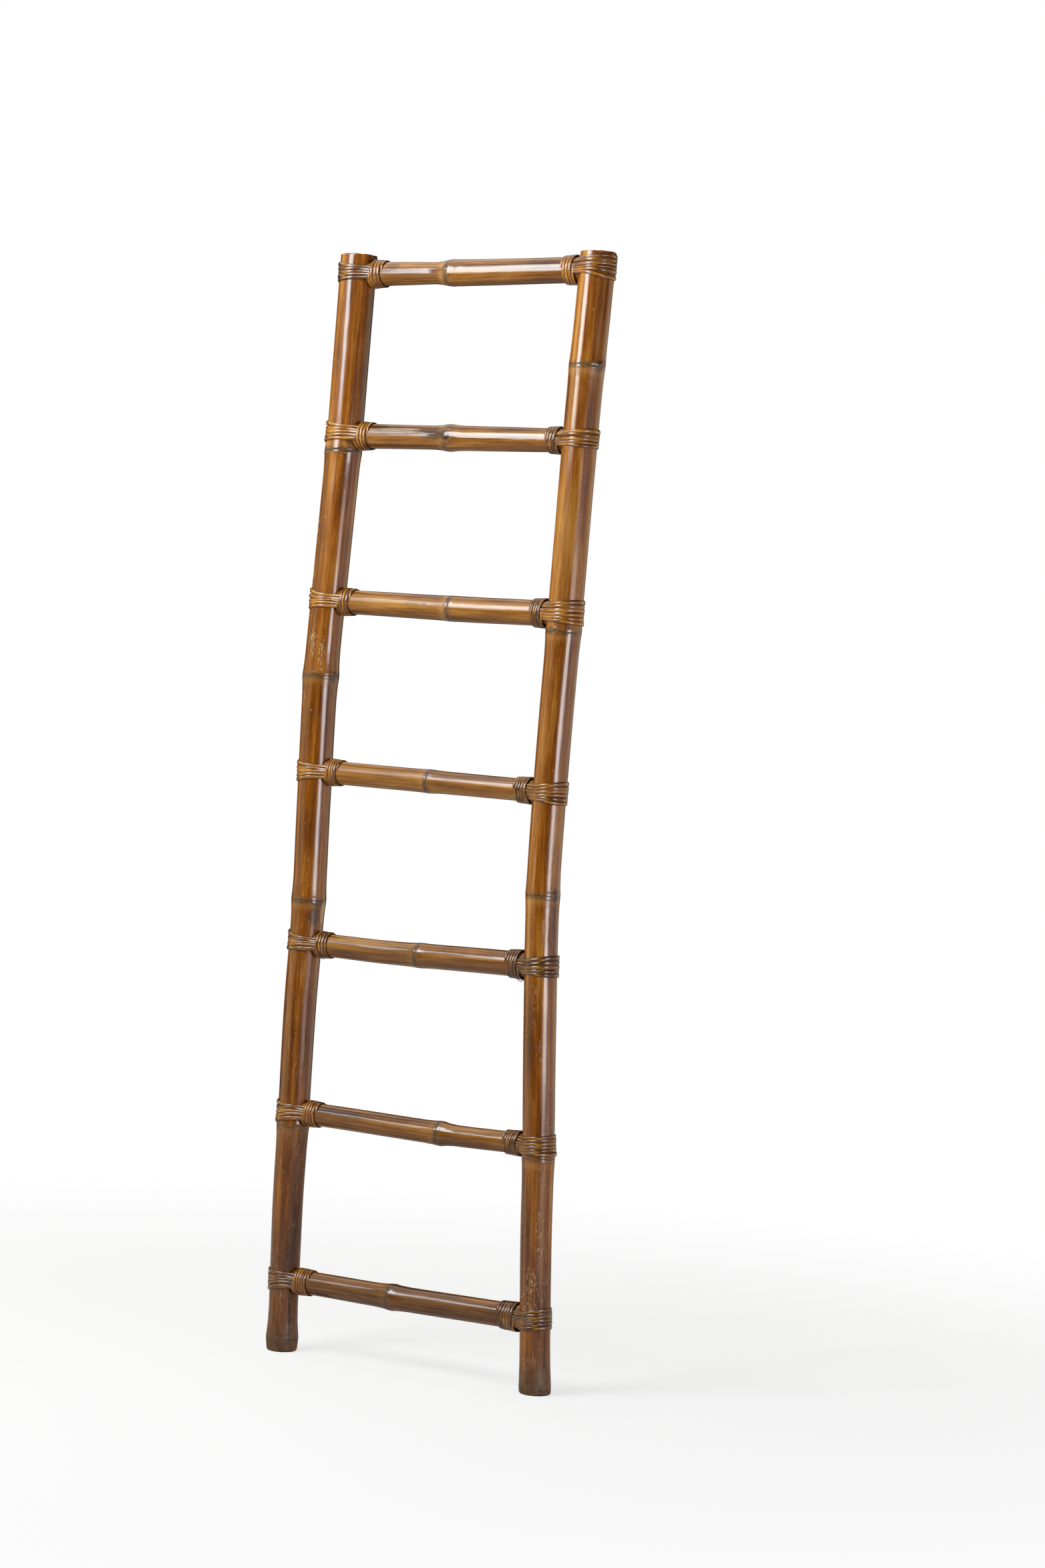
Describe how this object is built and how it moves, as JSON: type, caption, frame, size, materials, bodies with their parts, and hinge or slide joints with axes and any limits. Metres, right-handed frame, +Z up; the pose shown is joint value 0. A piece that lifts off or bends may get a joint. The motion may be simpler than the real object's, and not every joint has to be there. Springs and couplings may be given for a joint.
{
  "type": "bamboo ladder",
  "caption": "Straight ladder of two round bamboo rails and round bamboo rungs, each joint bound with split rattan bands and a wound collar.",
  "frame": {"origin": "on the floor, at the centre of the ladder's outline seen from above", "axes": "+X along the rungs, to the right as seen from the front; +Y to the back; +Z up the rails"},
  "size_m": [0.5437, 0.0662, 1.8],
  "materials": {
    "bamboo_rail": "stained and varnished bamboo, glossy, worn at the feet",
    "bamboo_rung": "stained and varnished bamboo, glossy",
    "rattan_band": "varnished split rattan",
    "rattan_collar": "varnished split rattan",
    "dowel_wood": "plain turned hardwood",
    "brad_steel": "dark drawn steel"
  },
  "bodies": {
    "root": {"rail_left": "bamboo_rail", "rail_right": "bamboo_rail", "rung_1": "bamboo_rung", "rung_2": "bamboo_rung", "rung_3": "bamboo_rung", "rung_4": "bamboo_rung", "rung_5": "bamboo_rung", "rung_6": "bamboo_rung", "rung_7": "bamboo_rung", "dowel_left_1": "dowel_wood", "band_left_1": "rattan_band", "collar_left_1": "rattan_collar", "dowel_left_2": "dowel_wood", "band_left_2": "rattan_band", "collar_left_2": "rattan_collar", "dowel_left_3": "dowel_wood", "band_left_3": "rattan_band", "collar_left_3": "rattan_collar", "dowel_left_4": "dowel_wood", "band_left_4": "rattan_band", "collar_left_4": "rattan_collar", "dowel_left_5": "dowel_wood", "band_left_5": "rattan_band", "collar_left_5": "rattan_collar", "dowel_left_6": "dowel_wood", "band_left_6": "rattan_band", "collar_left_6": "rattan_collar", "dowel_left_7": "dowel_wood", "band_left_7": "rattan_band", "collar_left_7": "rattan_collar", "brads_left": "brad_steel", "dowel_right_1": "dowel_wood", "band_right_1": "rattan_band", "collar_right_1": "rattan_collar", "dowel_right_2": "dowel_wood", "band_right_2": "rattan_band", "collar_right_2": "rattan_collar", "dowel_right_3": "dowel_wood", "band_right_3": "rattan_band", "collar_right_3": "rattan_collar", "dowel_right_4": "dowel_wood", "band_right_4": "rattan_band", "collar_right_4": "rattan_collar", "dowel_right_5": "dowel_wood", "band_right_5": "rattan_band", "collar_right_5": "rattan_collar", "dowel_right_6": "dowel_wood", "band_right_6": "rattan_band", "collar_right_6": "rattan_collar", "dowel_right_7": "dowel_wood", "band_right_7": "rattan_band", "collar_right_7": "rattan_collar", "brads_right": "brad_steel"}
  },
  "joints": []
}
